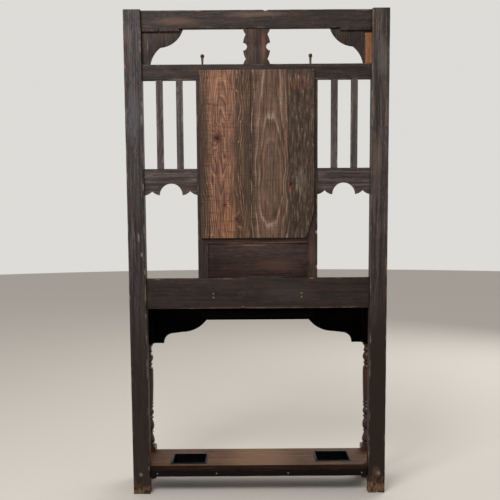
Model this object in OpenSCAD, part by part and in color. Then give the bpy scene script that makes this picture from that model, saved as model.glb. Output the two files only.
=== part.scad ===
// Oak hall stand: open back frame with a mirror, glove box, umbrella wells and drip trays.
// +Z is up and the front faces -Y. Left and right are those of someone facing the front,
// so left is -X. The origin is on the floor, at the middle of the width and of the depth.

/* [Overall] */
// Width over the two back posts
width = 1050; // [870:1:1300]
// Height of the back posts
height = 1965; // [1620:1:2400]
// Depth from the back of the posts to the front edge of the table
depth = 240; // [195:1:300]

/* [Back posts] */
// Width of a back post
post_w = 69; // [50:1:84]
// Depth of a back post
post_d = 45; // [37:1:54]

/* [Back frame] */
// Thickness of the rails, stiles and slats
rail_t = 22; // [18:1:24]
// How far the rails sit in from the back of the posts
rail_recess = 12; // [11:1:16]
// Distance from the post tops down to the top rail
top_drop = 2; // [0:0.5:10]
// Height of the top rail
top_rail_h = 70; // [50:1:90]
// Clear height of the frieze between the top rail and the upper rail
frieze_h = 138; // [112:1:170]
// Height of the upper rail
upper_rail_h = 60; // [45:1:75]
// Clear length of a slat
slat_l = 349; // [240:1:420]
// Width of a slat
slat_w = 26; // [18:1:34]
// Height of a scalloped side rail, down to its tips
side_rail_h = 105; // [80:1:115]
// Radius of the arch in a side rail
arch_r = 47; // [30:1:55]
// Height of the small pointed notches beside the arch
notch_h = 17; // [10:1:22]
// Distance over the outer edges of the two inner stiles
stile_span = 485; // [420:1:520]
// Width of an inner stile
stile_w = 41; // [34:1:50]
// Clear height of the opening for the lower panel
panel_h = 141; // [110:1:170]
// Height of the rail above the lower panel
panel_rail_h = 45; // [38:1:60]
// Thickness of the lower panel
panel_t = 9; // [6:0.5:11]
// Height of the cross rail's top edge above the floor
cross_rail_top = 904; // [880:1:930]
// Height of the cross rail
cross_rail_h = 125; // [100:1:150]

/* [Frieze] */
// Thickness of the corner brackets and the splat
frieze_t = 12; // [8:0.5:14]
// Length of a top corner bracket along the rail
bracket_w = 164; // [120:1:200]
// Width of a top corner bracket at its foot
bracket_foot = 32; // [29:1:50]
// Width of the repair block beside the left bracket
patch_w = 23; // [14:1:25]
// Height of the repair block
patch_h = 118; // [60:1:124]
// Gap between the repair block and the bracket
patch_gap = 2; // [2:0.5:6]
// Height of the battens under the top rail
batten_h = 10; // [6:0.5:14]
// Depth of the battens
batten_d = 9; // [5:0.5:10]
// Width of the middle splat
splat_w = 107; // [80:1:130]

/* [Mirror and backboards] */
// Thickness of the backboards
backboard_t = 9.5; // [7:0.5:11]
// Width of the narrow backboard
narrow_board_w = 201; // [160:1:230]
// Gap between the two backboards
board_gap = 1.5; // [0.5:0.5:3]
// How far the backboards lap onto the stiles
board_lap = 27; // [15:1:33]
// How far the backboards lap up onto the upper rail
board_lap_top = 36; // [20:1:44]
// How far the backboards lap down onto the panel rail
board_lap_low = 23; // [12:1:30]
// Thickness of the mirror plate
mirror_t = 5; // [3:0.5:6]
// Width of the bevel round the mirror
mirror_bevel = 20; // [10:1:30]
// Width of the bead that frames the mirror
bead_w = 12; // [8:0.5:16]
// Thickness of the bead that frames the mirror
bead_t = 10; // [6:0.5:11]

/* [Table and glove box] */
// Height of the table top above the floor
table_h = 868; // [840:1:875]
// Thickness of the table top
table_t = 18; // [14:0.5:22]
// Overhang of the table top past the front legs
table_overhang = 8; // [4:0.5:14]
// Height of the apron under the table top
apron_h = 145; // [120:1:170]
// Thickness of the apron
apron_t = 20; // [14:1:22]
// Width of the glove box over its lid
lid_w = 476; // [400:1:520]
// Width of the table's back strip
back_strip_w = 28; // [26:1:34]
// Width of the table's front strips
front_strip_w = 35; // [30:1:42]
// Thickness of the glove box sides, back and bottom
box_t = 12; // [8:0.5:14]
// Clear depth inside the glove box
box_deep = 100; // [70:1:115]
// Length of a front corner bracket along the apron
low_bracket_w = 231; // [160:1:260]
// Drop of a front corner bracket
low_bracket_h = 102; // [80:1:120]
// Width of a front corner bracket at its foot
low_bracket_foot = 42; // [30:1:60]
// Thickness of the front corner brackets
low_bracket_t = 16; // [12:1:20]

/* [Front legs] */
// Width of the square stock of a front leg
leg_w = 54; // [48:1:60]
// How far a front leg stands in from the side of the posts
leg_inset = 16; // [6:1:20]
// Height of the square block at the foot of a front leg
foot_block_h = 146; // [135:1:170]
// Length of the turned group of beads below the upper block
upper_turning = 114; // [90:1:120]
// Length of the turned group of beads above the foot block
lower_turning = 197; // [170:1:220]

/* [Shelf and drip trays] */
// Height of the shelf's top above the floor
shelf_h = 120; // [100:1:130]
// Thickness of the shelf board
shelf_t = 22; // [16:1:26]
// Height of the rails under the shelf
shelf_rail_h = 27; // [22:1:36]
// Thickness of the rails under the shelf
shelf_rail_t = 20; // [14:1:24]
// How far the shelf sits in from the back of the posts
shelf_recess = 8; // [4:1:14]
// How far the shelf sits in from the front of the legs
shelf_front_recess = 8; // [2:1:14]
// Width of a drip tray over its rim
tray_w = 152; // [120:1:180]
// Depth of a drip tray over its rim, front to back
tray_d = 134; // [104:1:140]
// Height of a drip tray
tray_h = 34; // [20:1:38]
// Width of a drip tray's rim
tray_rim = 6; // [4:0.5:9]
// Thickness of the drip tray's metal
tray_t = 1.5; // [1:0.1:2.5]
// Distance from the left front leg to the left tray's rim
tray_left_side = 62; // [20:1:180]
// Distance from the right front leg to the right tray's rim
tray_right_side = 83; // [20:1:180]
// Distance from the shelf's back edge to the left tray's rim
tray_left_back = 40; // [8:1:42]
// Distance from the shelf's back edge to the right tray's rim
tray_right_back = 16; // [8:1:42]

/* [Hooks] */
// Width of a hook's wall plate
hook_plate_w = 24; // [18:1:32]
// Height of a hook's wall plate
hook_plate_h = 66; // [54:1:80]
// Distance from the wall plate to the middle of the upper ball
hook_reach = 84; // [60:1:95]
// Distance from the wall plate to the middle of the lower ball
low_hook_reach = 40; // [32:1:48]
// Thickness of a hook's wall plate
hook_plate_t = 3; // [2:0.5:4]
// Height of the upper ball above the middle of the wall plate
hook_rise = 91; // [80:1:110]
// Radius of the upper ball
hook_ball_r = 8.5; // [6:0.5:11]
// Height of the middle of the outer hooks' plates above the side rail's top
outer_hook_up = 180; // [100:1:220]

/* [Fits] */
// Gap between the lid and what it closes on
lid_gap = 0.4; // [0.3:0.1:1]
// Gap round the lid's sides and back edge
lid_side_gap = 1; // [0.5:0.1:2]
// Gap between a tray and its cut-out
tray_gap = 1.5; // [0.5:0.1:2.5]
// Gap between a tray's rim and the shelf
rim_gap = 0.3; // [0.3:0.1:0.6]
// Radius of a hinge pin
pin_r = 1.6; // [1:0.1:1.8]
// Radial clearance of the hinge pin in the lid's knuckle
pin_gap = 0.05; // [0.02:0.01:0.1]

/* [Hidden] */
$fn = 48;

// Thickness of the screw, nail and plug heads on the back
plug_t = 0.8;

// Faces of the frame, seen from above
back_y = depth / 2;
front_y = -depth / 2;
rail_y = back_y - rail_recess;
rail_front_y = rail_y - rail_t;
post_x = width / 2 - post_w;
post_front_y = back_y - post_d;
stile_x = stile_span / 2;
stile_in_x = stile_x - stile_w;

// Heights of the back frame
top_rail_top = height - top_drop;
frieze_top = top_rail_top - top_rail_h;
frieze_low = frieze_top - frieze_h;
upper_rail_low = frieze_low - upper_rail_h;
side_rail_top = upper_rail_low - slat_l;
side_rail_tip = side_rail_top - side_rail_h;
cross_rail_low = cross_rail_top - cross_rail_h;
panel_top = cross_rail_top + panel_h;
mirror_low = panel_top + panel_rail_h;

// Faces of the table and its box
table_low = table_h - table_t;
apron_low = table_low - apron_h;
leg_x = width / 2 - leg_inset;
leg_in_x = leg_x - leg_w;
leg_y = front_y + table_overhang;
leg_back_y = leg_y + leg_w;
apron_y = leg_y + 2;
apron_back_y = apron_y + apron_t;
strip_front_y = rail_front_y - back_strip_w;
front_strip_back_y = front_y + front_strip_w;
lid_x = lid_w / 2;
box_x = lid_x - 4;
box_back_y = rail_front_y - box_t;
leg_block_low = apron_low - low_bracket_h;
end_in_x = leg_x - 42;

// Faces of the shelf
shelf_back_y = back_y - shelf_recess;
shelf_front_y = leg_y + shelf_front_recess;
shelf_low = shelf_h - shelf_t;

// The lid's hinges: barrel radius, length of a leaf, and where the two stand
barrel_r = 3;
leaf_l = 50;
leaf_w = 24;
leaf_t = 1.5;
knuckle_l = 12;
knuckle_gap = 0.4;
hinge_x = lid_x - 85;
hinge_y = strip_front_y - lid_side_gap / 2;
hinge_z = table_h + barrel_r + 0.6;

// Points of a circular arc from p towards q, without q. It bulges to the left of that way
// by sag, and to the right where sag is negative.
function arc(p, q, sag, n = 8) =
    let (chord = norm(q - p), along = (q - p) / chord, across = [-along[1], along[0]],
         half = 2 * atan(2 * abs(sag) / chord), r = chord / 2 / sin(half))
    [for (i = [0:n - 1]) let (a = half * (2 * i / n - 1))
        p + along * (chord / 2 + r * sin(a)) + across * sign(sag) * r * (cos(a) - cos(half))];

// Points of a turned bead or bulge between two heights, standing out from radius r by rise.
// A lean below 1 puts the widest place nearer to the lower end.
function turned(low, high, r, rise, lean = 1, n = 6) =
    [for (i = [0:n]) [r + rise * sin(180 * pow(i / n, lean)), low + (high - low) * i / n]];

// Turns what is built on the right over to the left
module on_side(side) {
    if (side < 0) mirror([1, 0, 0]) children();
    else children();
}

// An upright board cut to an outline in X and Z, from its back face forwards
module board(back, t) {
    translate([0, back, 0]) rotate([90, 0, 0]) linear_extrude(t) children();
}

// A rectangle between two corners in X and Z
module span(x0, z0, x1, z1) {
    translate([x0, z0]) square([x1 - x0, z1 - z0]);
}

// A block between two corners
module block(low, high) {
    translate(low) cube(high - low);
}

// ---- back frame ----

module post(side) {
    color("#3a3231") difference() {
        on_side(side) block([post_x, post_front_y, 0], [width / 2, back_y, height]);
        post_plugs(1);
    }
}

// The plugs low on the posts' backs; with extra they run out of the wood, to cut their seats
module post_plugs(extra) {
    for (x = [-post_x - 43, post_x + 35])
        translate([x, back_y + extra, shelf_low - shelf_rail_h / 2]) rotate([90, 0, 0])
            cylinder(h = plug_t + extra, r = 4.5);
}

module top_rail() {
    color("#463b35") board(rail_y, rail_t) span(-post_x, frieze_top, post_x, top_rail_top);
}

module upper_rail() {
    color("#443a34") board(rail_y, rail_t) span(-post_x, upper_rail_low, post_x, frieze_low);
}

module cross_rail() {
    color("#38302c") board(rail_y, rail_t) span(-post_x, cross_rail_low, post_x, cross_rail_top);
}

module stile(side) {
    color("#40352f") on_side(side)
        board(rail_y, rail_t) span(stile_in_x, cross_rail_top, stile_x, upper_rail_low);
}

// A semicircular arch with a pointed notch between two lobes on each side of it
module side_rail(side) {
    mid = (stile_x + post_x) / 2;
    lobe_sag = 3;
    peak = side_rail_tip + notch_h;
    inner_peak = (stile_x + mid - arch_r) / 2;
    outer_peak = (post_x + mid + arch_r) / 2;
    color("#453a36") on_side(side) board(rail_y, rail_t) polygon(concat(
        [[stile_x, side_rail_top]],
        arc([stile_x, side_rail_tip], [inner_peak, peak], -lobe_sag, 4),
        arc([inner_peak, peak], [mid - arch_r, side_rail_tip], -lobe_sag, 4),
        arc([mid - arch_r, side_rail_tip], [mid + arch_r, side_rail_tip], arch_r, 20),
        arc([mid + arch_r, side_rail_tip], [outer_peak, peak], -lobe_sag, 4),
        arc([outer_peak, peak], [post_x, side_rail_tip], -lobe_sag, 4),
        [[post_x, side_rail_tip], [post_x, side_rail_top]]));
}

// Two slats share the bay between a stile and a post in three equal gaps
module slat(side, place) {
    gap = (post_x - stile_x - 2 * slat_w) / 3;
    x = stile_x + place * gap + (place - 1) * slat_w;
    color("#4b4344") on_side(side)
        board(rail_y, rail_t) span(x, side_rail_top, x + slat_w, upper_rail_low);
}

module top_splat() {
    half = splat_w / 2;
    mid = (frieze_low + frieze_top) / 2;
    notch_in = 11;
    notch_up = 21;
    bite_r = 16;
    right = concat(
        arc([half, frieze_low], [half - notch_in, frieze_low + notch_up], -1.5, 4),
        arc([half - notch_in, frieze_low + notch_up], [half, mid - bite_r], -1.5, 4),
        arc([half, mid - bite_r], [half, mid + bite_r], bite_r - 0.5, 12),
        arc([half, mid + bite_r], [half - notch_in, frieze_top - notch_up], -1.5, 4),
        arc([half - notch_in, frieze_top - notch_up], [half, frieze_top], -1.5, 4),
        [[half, frieze_top]]);
    count = len(right);
    left = [for (i = [count - 1:-1:0]) [-right[i][0], right[i][1]]];
    color("#4a3d36") board(rail_y - (rail_t - frieze_t) / 2, frieze_t) polygon(concat(right, left));
}

// An ogee bracket in the corner below the top rail. trim cuts it back from the post, as high as the
// repair block and its gap, and the wood above that stays.
module top_bracket(side, trim) {
    waist = [post_x - 73, (frieze_low + frieze_top) / 2];
    tip = [post_x - bracket_w, frieze_top];
    foot = [post_x - bracket_foot, frieze_low];
    trim_top = frieze_low + patch_h + patch_gap;
    beside = trim == 0 ? [[post_x, frieze_low]]
        : [[post_x - trim, frieze_low], [post_x - trim, trim_top], [post_x, trim_top]];
    color("#453a35") on_side(side) board(rail_front_y + frieze_t, frieze_t) polygon(concat(
        arc(tip, waist, -17, 10), arc(waist, foot, 8, 8), [foot], beside, [[post_x, frieze_top]]));
}

// Battens behind the brackets: a short and a long one on the right, one on the left
module top_battens() {
    back = rail_front_y + frieze_t + batten_d;
    low = frieze_top - batten_h;
    color("#5a4e48") board(back, batten_d) {
        span(post_x - 68, low, post_x, frieze_top);
        span(post_x - 150, low, post_x - 71, frieze_top);
        span(-post_x + 5, low, -post_x + 125, frieze_top);
    }
}

module repair_block() {
    color("#a8693c") board(rail_front_y + 20, 20)
        span(-post_x, frieze_low, -post_x + patch_w, frieze_low + patch_h);
}

// ---- backboards, mirror and lower panel ----

board_x = stile_in_x + board_lap;
board_low = mirror_low - board_lap_low;
board_top = upper_rail_low + board_lap_top;
board_joint_x = board_x - narrow_board_w;

module backboard_narrow() {
    color("#7a4e3a") board(rail_y + backboard_t, backboard_t)
        span(board_joint_x, board_low, board_x, board_top);
}

// The wide board's lower outer corner is sawn off on a slant
module backboard_wide() {
    cut_w = 30;
    cut_h = 110;
    color("#6b5244") board(rail_y + backboard_t, backboard_t) polygon([
        [board_joint_x - board_gap, board_low], [board_joint_x - board_gap, board_top],
        [-board_x, board_top], [-board_x, board_low + cut_h], [-board_x + cut_w, board_low]]);
}

module backboard_nails() {
    head_r = 2.2;
    head_t = 0.8;
    edge = 9;
    rows = 5;
    step = (board_top - board_low - 130 - 2 * edge) / (rows - 1);
    color("#2a2422") {
        for (x = [-board_x + edge, board_x - edge], i = [0:rows - 1])
            nail_head(x, board_low + 130 + edge + i * step, head_r, head_t);
        for (x = [-150, -60, 60, 150], z = [board_low + edge, board_top - edge])
            nail_head(x, z, head_r, head_t);
    }
}

module nail_head(x, z, r, t) {
    translate([x, rail_y + backboard_t + t, z]) rotate([90, 0, 0]) cylinder(h = t, r = r, $fn = 24);
}

// A plate with its front edges ground to a bevel
module bevelled_plate(w, low, high, back, t, bevel, lip) {
    intersection() {
        translate([-w / 2, back, 0]) rotate([90, 0, 90]) linear_extrude(w) polygon([
            [0, low], [0, high], [lip - t, high], [-t, high - bevel], [-t, low + bevel],
            [lip - t, low]]);
        translate([0, back, low]) linear_extrude(high - low) polygon([
            [-w / 2, 0], [w / 2, 0], [w / 2, lip - t], [w / 2 - bevel, -t],
            [bevel - w / 2, -t], [-w / 2, lip - t]]);
    }
}

module mirror_plate() {
    back = rail_front_y + bead_t + mirror_t;
    color("#c9d2d4")
        bevelled_plate(2 * stile_in_x, mirror_low, upper_rail_low, back, mirror_t, mirror_bevel + bead_w, 2);
}

// One of four mitred beads round the mirror: 0 is the bottom one, then anticlockwise
module mirror_bead(place) {
    w = 2 * stile_in_x;
    h = upper_rail_low - mirror_low;
    long = place % 2 == 0 ? w : h;
    across = place % 2 == 0 ? h : w;
    color("#4a3a30") translate([0, rail_front_y + bead_t, mirror_low + h / 2]) rotate([90, 0, 0])
        rotate([0, 0, 90 * place]) intersection() {
            linear_extrude(bead_t) polygon([[-long / 2, -across / 2], [long / 2, -across / 2],
                [long / 2 - bead_w, bead_w - across / 2], [bead_w - long / 2, bead_w - across / 2]]);
            translate([-long / 2, -across / 2, 0]) rotate([90, 0, 90]) linear_extrude(long)
                polygon(concat([[0, 0], [bead_w, 0]], arc([bead_w, 2], [3, bead_t], -3, 6),
                    [[3, bead_t], [0, bead_t]]));
        }
}

module panel_rail() {
    color("#40352f") board(rail_y, rail_t) span(-stile_in_x, panel_top, stile_in_x, mirror_low);
}

// A panel fielded on its front, with its back set in from the frame
module lower_panel() {
    color("#3d2e28")
        bevelled_plate(2 * stile_in_x, cross_rail_top, panel_top, rail_y - 7, panel_t, 30, 4);
}

// ---- glove box and table ----

box_bottom_z = table_low - box_deep - box_t;

module box_back() {
    color("#5a4030") board(rail_front_y, box_t) span(-box_x, box_bottom_z, box_x, table_low);
}

module box_bottom() {
    color("#5a4030") block([box_t - box_x, apron_back_y, box_bottom_z],
        [box_x - box_t, box_back_y, box_bottom_z + box_t]);
}

module box_side(side) {
    color("#5a4030") on_side(side)
        block([box_x - box_t, apron_back_y, box_bottom_z], [box_x, box_back_y, table_low]);
}

module front_apron() {
    color("#3a2018") block([-leg_in_x, apron_y, apron_low], [leg_in_x, apron_back_y, table_low]);
}

module side_apron(side) {
    color("#3a2018") on_side(side)
        block([leg_x - apron_t - 2, leg_back_y, apron_low], [leg_x - 2, post_front_y, table_low]);
}

// A long ogee bracket between the apron and a front leg
module low_bracket(side) {
    tip = [leg_in_x - low_bracket_w, apron_low];
    knee = [leg_in_x - 0.54 * low_bracket_w, apron_low - 0.52 * low_bracket_h];
    hollow = [leg_in_x - 2 * low_bracket_foot, apron_low - 0.57 * low_bracket_h];
    foot = [leg_in_x - low_bracket_foot, leg_block_low + 2];
    color("#33190f") on_side(side) board(apron_y + (apron_t + low_bracket_t) / 2, low_bracket_t)
        polygon(concat(arc(tip, knee, -14, 10), [knee], arc(hollow, foot, 12, 8),
            [foot, [foot[0], leg_block_low], [leg_in_x, leg_block_low], [leg_in_x, apron_low]]));
}

module table_back_strip() {
    color("#3a2018")
        block([-post_x, strip_front_y, table_low], [post_x, rail_front_y, table_h]);
}

// A table strip's section, rounded along its front edge
module front_section(back, low) {
    nose = 3;
    flat = 9;
    polygon(concat([[back, low + table_t], [front_y + flat, low + table_t]],
        arc([front_y + nose, low + table_t - 1], [front_y + nose, low + 1], -nose, 6),
        [[front_y + nose, low + 1], [front_y + flat, low], [back, low]]));
}

module table_front_strip(side) {
    inner = lid_x + lid_side_gap;
    color("#3a2018") on_side(side) translate([inner, 0, 0]) rotate([90, 0, 90])
        linear_extrude(width / 2 - 5 - inner) front_section(front_strip_back_y, table_low);
}

module table_end(side) {
    color("#3a2018") on_side(side)
        block([end_in_x, front_strip_back_y, table_low], [width / 2 - 5, post_front_y, table_h]);
}

module lid() {
    back = strip_front_y - lid_side_gap;
    color("#40241a") translate([-lid_x, 0, 0]) rotate([90, 0, 90])
        linear_extrude(lid_w) front_section(back, table_low + lid_gap);
}

module knuckles(places) {
    for (place = places) translate([place[0], hinge_y, hinge_z]) rotate([0, 90, 0])
        cylinder(h = place[1] - place[0], r = barrel_r);
}

// A leaf runs out from the barrel on one side, is cut away beside the other leaf's knuckles, and is
// bored for the pin
module leaf(places, way, low, bore_r) {
    clear = barrel_r + 0.5;
    inner = barrel_r * 0.4;
    difference() {
        union() {
            block([-leaf_l / 2, min(hinge_y + way * clear, hinge_y + way * leaf_w), low],
                [leaf_l / 2, max(hinge_y + way * clear, hinge_y + way * leaf_w), low + leaf_t]);
            for (place = places) block(
                [place[0], min(hinge_y + way * inner, hinge_y + way * (clear + 1)), low],
                [place[1], max(hinge_y + way * inner, hinge_y + way * (clear + 1)), low + leaf_t]);
            knuckles(places);
        }
        translate([-leaf_l / 2 - 1, hinge_y, hinge_z]) rotate([0, 90, 0])
            cylinder(h = leaf_l + 2, r = bore_r);
    }
}

outer_places = [[-leaf_l / 2, knuckle_l - leaf_l / 2], [leaf_l / 2 - knuckle_l, leaf_l / 2]];
inner_places = [[knuckle_l + knuckle_gap - leaf_l / 2, leaf_l / 2 - knuckle_l - knuckle_gap]];

module hinge_table_leaves() {
    color("#8a7a50") for (x = [-hinge_x, hinge_x]) translate([x, 0, 0])
        leaf(outer_places, 1, table_h, pin_r);
}

module hinge_lid_leaves() {
    color("#8a7a50") for (x = [-hinge_x, hinge_x]) translate([x, 0, 0])
        leaf(inner_places, -1, table_h + lid_gap, pin_r + pin_gap);
}

module hinge_pins() {
    color("#9a8a60") for (x = [-hinge_x, hinge_x])
        translate([x - leaf_l / 2, hinge_y, hinge_z]) rotate([0, 90, 0]) cylinder(h = leaf_l, r = pin_r);
}

// ---- front legs and shelf ----

// Square at the foot and behind the apron, and turned between them. The longest swelling of each
// turned group takes up what the beads leave of its length.
module front_leg(side) {
    low = foot_block_h;
    column_low = low + lower_turning;
    column_top = leg_block_low - upper_turning;
    profile = concat(
        [[0, low - 5], [15, low - 5]],
        turned(low, low + 10, 16, 4),
        turned(low + 10, low + 56, 12, 9, 0.5, 10),
        turned(low + 56, low + 66, 13, 4),
        turned(low + 66, column_low - 77, 12, 8, 0.8, 10),
        turned(column_low - 77, column_low - 64, 13, 5),
        turned(column_low - 64, column_low - 29, 12, 7, 1, 8),
        turned(column_low - 29, column_low - 15, 14, 4),
        turned(column_low - 15, column_low, 14, 5),
        [for (i = [0:8]) [17 + 3 * i / 8 + sin(22.5 * i), column_low + (column_top - column_low) * i / 8]],
        turned(column_top, column_top + 8, 15, 5),
        turned(column_top + 8, column_top + 20, 17, -4),
        turned(column_top + 20, column_top + 30, 13, 5),
        turned(column_top + 30, leg_block_low - 41, 12, 9, 1, 10),
        turned(leg_block_low - 41, leg_block_low - 30, 13, 5),
        turned(leg_block_low - 30, leg_block_low - 12, 17, -3),
        turned(leg_block_low - 12, leg_block_low, 16, 5),
        [[15, leg_block_low + 5], [0, leg_block_low + 5]]);
    color("#3a1c12") on_side(side) {
        block([leg_in_x, leg_y, 0], [leg_x, leg_back_y, low]);
        translate([leg_x - leg_w / 2, leg_y + leg_w / 2, 0]) rotate_extrude() polygon(profile);
        block([leg_in_x, leg_y, leg_block_low], [leg_x, leg_back_y, table_low]);
    }
}

tray_left_y = shelf_back_y - tray_left_back - tray_d / 2;
tray_right_y = shelf_back_y - tray_right_back - tray_d / 2;
tray_centres = [[tray_left_side + tray_w / 2 - leg_in_x, tray_left_y],
    [leg_in_x - tray_right_side - tray_w / 2, tray_right_y]];

// What is cut out for the pans of the two trays, in the shelf and in a rail that one of them meets
module tray_cuts() {
    hole_w = tray_w - 2 * tray_rim + 2 * tray_gap;
    hole_d = tray_d - 2 * tray_rim + 2 * tray_gap;
    for (c = tray_centres) translate([c[0] - hole_w / 2, c[1] - hole_d / 2, 0])
        cube([hole_w, hole_d, height]);
}

// Notched round the posts and the front legs, and cut out for the two trays
module shelf_board() {
    color("#7a5848") difference() {
        block([-leg_x, shelf_front_y, shelf_low], [leg_x, shelf_back_y, shelf_h]);
        for (side = [-1, 1]) on_side(side) {
            block([post_x, post_front_y, 0], [width / 2, back_y, height]);
            block([leg_in_x, front_y, 0], [width / 2, leg_back_y, height]);
        }
        tray_cuts();
    }
}

module shelf_front_rail() {
    color("#3a221c") difference() {
        block([-leg_in_x, shelf_front_y, shelf_low - shelf_rail_h],
            [leg_in_x, shelf_front_y + shelf_rail_t, shelf_low]);
        tray_cuts();
    }
}

module shelf_back_rail() {
    color("#3a221c") difference() {
        block([-post_x, shelf_back_y - shelf_rail_t, shelf_low - shelf_rail_h],
            [post_x, shelf_back_y, shelf_low]);
        tray_cuts();
    }
}

module shelf_side_rails() {
    color("#3a221c") for (side = [-1, 1]) on_side(side)
        block([leg_x - shelf_rail_t, leg_back_y, shelf_low - shelf_rail_h],
            [leg_x, post_front_y, shelf_low]);
}

// A rimmed pan that drops into the shelf
module drip_tray(centre) {
    w = tray_w - 2 * tray_rim;
    d = tray_d - 2 * tray_rim;
    top = shelf_h + rim_gap + tray_t;
    color("#0c1016") translate([centre[0], centre[1], top]) difference() {
        union() {
            block([-tray_w / 2, -tray_d / 2, -tray_t], [tray_w / 2, tray_d / 2, 0]);
            block([-w / 2, -d / 2, -tray_h], [w / 2, d / 2, 0]);
        }
        block([tray_t - w / 2, tray_t - d / 2, tray_t - tray_h], [w / 2 - tray_t, d / 2 - tray_t, 1]);
    }
}

// ---- hooks and fixings ----

// One bent arm in the plane of forward and up: a sloping run, a bend, and a cone under a ball.
// Each stretch runs a little way into the next, and the root stays inside the wall plate.
module hook_arm(start_h, reach, dip, bend_r, r, ball_r, top_h) {
    run = (reach - bend_r - bend_r * sin(dip)) / cos(dip);
    bend_x = reach - bend_r;
    bend_h = start_h - run * sin(dip) + bend_r * cos(dip);
    sink = 2;
    step = 0.3;
    root = 1;
    translate([root, start_h - root * tan(dip), 0]) rotate([0, 0, -dip]) rotate([0, 90, 0])
        cylinder(h = run + sink / 2 - root / cos(dip), r = r + step);
    translate([bend_x, bend_h, 0]) rotate([0, 0, -90 - dip])
        rotate_extrude(angle = 90 + dip) translate([bend_r, 0]) circle(r);
    translate([reach, bend_h - sink, 0]) rotate([-90, 0, 0])
        cylinder(h = top_h - ball_r * 0.8 - bend_h + sink, r1 = r - step, r2 = ball_r * 0.62);
    translate([reach, top_h, 0]) sphere(ball_r);
}

// A hat and coat hook: a long arm above a short one, on a wall plate with rounded ends
module hook(x, face, z) {
    half_w = hook_plate_w / 2;
    end_h = (hook_plate_h - hook_plate_w) / 2;
    low_ball_r = hook_ball_r * 0.76;
    color("#8a7a60") translate([x, face, z]) {
        rotate([90, 0, 0]) linear_extrude(hook_plate_t) polygon(concat(
            arc([half_w, end_h], [-half_w, end_h], -half_w, 12),
            arc([-half_w, -end_h], [half_w, -end_h], -half_w, 12)));
        rotate([0, 0, -90]) rotate([90, 0, 0]) {
            hook_arm(22, hook_reach, 6, 34, 4, hook_ball_r, hook_rise);
            hook_arm(-16, low_hook_reach, 10, 13, 3.6, low_ball_r, -1);
        }
    }
}

inner_hook_x = stile_x - stile_w / 2;
inner_hook_z = frieze_low - 36;
outer_hook_x = width / 2 - post_w / 2;
outer_hook_z = side_rail_top + outer_hook_up;

module hook_inner(side) hook(side * inner_hook_x, rail_front_y, inner_hook_z);

module hook_outer(side) hook(side * outer_hook_x, post_front_y, outer_hook_z);

// Two slotted screw heads in each hook's plate, between its arms and below them
module hook_screws() {
    head_r = 3.4;
    for (side = [-1, 1], up = [3, 6 - hook_plate_h / 2]) {
        slotted_head(side * inner_hook_x, rail_front_y - hook_plate_t, inner_hook_z + up, head_r);
        slotted_head(side * outer_hook_x, post_front_y - hook_plate_t, outer_hook_z + up, head_r);
    }
}

module slotted_head(x, face, z, r) {
    t = 1.6;
    color("#7a6a48") translate([x, face, z]) rotate([90, 0, 0]) difference() {
        cylinder(h = t, r1 = r, r2 = r * 0.8);
        translate([-r - 1, -0.5, t * 0.5]) cube([2 * r + 2, 1, t]);
    }
}

// Screw and nail heads seen on the back: pairs on the cross rail, a row on the shelf's back
// rail, and a plug low on each post
module back_fixings() {
    head_t = plug_t;
    color("#b09a80") {
        for (x = [-178, 182], z = [cross_rail_top - 63, cross_rail_top - 79])
            translate([x, rail_y + head_t, z]) rotate([90, 0, 0]) cylinder(h = head_t, r = 3.2);
        for (x = [-post_x + 26, -122, 178, post_x - 31])
            translate([x, shelf_back_y + head_t, shelf_low - shelf_rail_h / 2])
                rotate([90, 0, 0]) cylinder(h = head_t, r = 3);
        post_plugs(0);
    }
}

post(-1);  // post_left
post(1);  // post_right
top_rail();
upper_rail();
cross_rail();
stile(-1);  // stile_left
stile(1);  // stile_right
side_rail(-1);  // side_rail_left
side_rail(1);  // side_rail_right
slat(-1, 2);  // slat_left_outer
slat(-1, 1);  // slat_left_inner
slat(1, 1);  // slat_right_inner
slat(1, 2);  // slat_right_outer
top_splat();
top_bracket(-1, patch_w + patch_gap);  // top_bracket_left
top_bracket(1, 0);  // top_bracket_right
top_battens();
repair_block();
backboard_narrow();
backboard_wide();
backboard_nails();
mirror_plate();
mirror_bead(0);  // mirror_bead_bottom
mirror_bead(1);  // mirror_bead_right
mirror_bead(2);  // mirror_bead_top
mirror_bead(3);  // mirror_bead_left
panel_rail();
lower_panel();
box_back();
box_bottom();
box_side(-1);  // box_side_left
box_side(1);  // box_side_right
front_apron();
side_apron(-1);  // side_apron_left
side_apron(1);  // side_apron_right
low_bracket(-1);  // low_bracket_left
low_bracket(1);  // low_bracket_right
table_back_strip();
table_front_strip(-1);  // table_front_strip_left
table_front_strip(1);  // table_front_strip_right
table_end(-1);  // table_end_left
table_end(1);  // table_end_right
lid();
hinge_table_leaves();
hinge_lid_leaves();
hinge_pins();
front_leg(-1);  // front_leg_left
front_leg(1);  // front_leg_right
shelf_board();
shelf_front_rail();
shelf_back_rail();
shelf_side_rails();
drip_tray(tray_centres[0]);  // drip_tray_left
drip_tray(tray_centres[1]);  // drip_tray_right
hook_inner(-1);  // hook_inner_left
hook_inner(1);  // hook_inner_right
hook_outer(-1);  // hook_outer_left
hook_outer(1);  // hook_outer_right
hook_screws();
back_fixings();
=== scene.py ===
"""Looks of an old oak hall stand: worn stained boards, pine backboards, turned legs, brass hooks.

Metres, in the part's own frame. +Z is up, the front faces -Y, and the camera stands behind, at +Y.
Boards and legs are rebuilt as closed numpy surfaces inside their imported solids; shaped pieces keep
theirs.
"""
import math

import bpy
import numpy as np
from mathutils import Matrix, Vector


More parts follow.
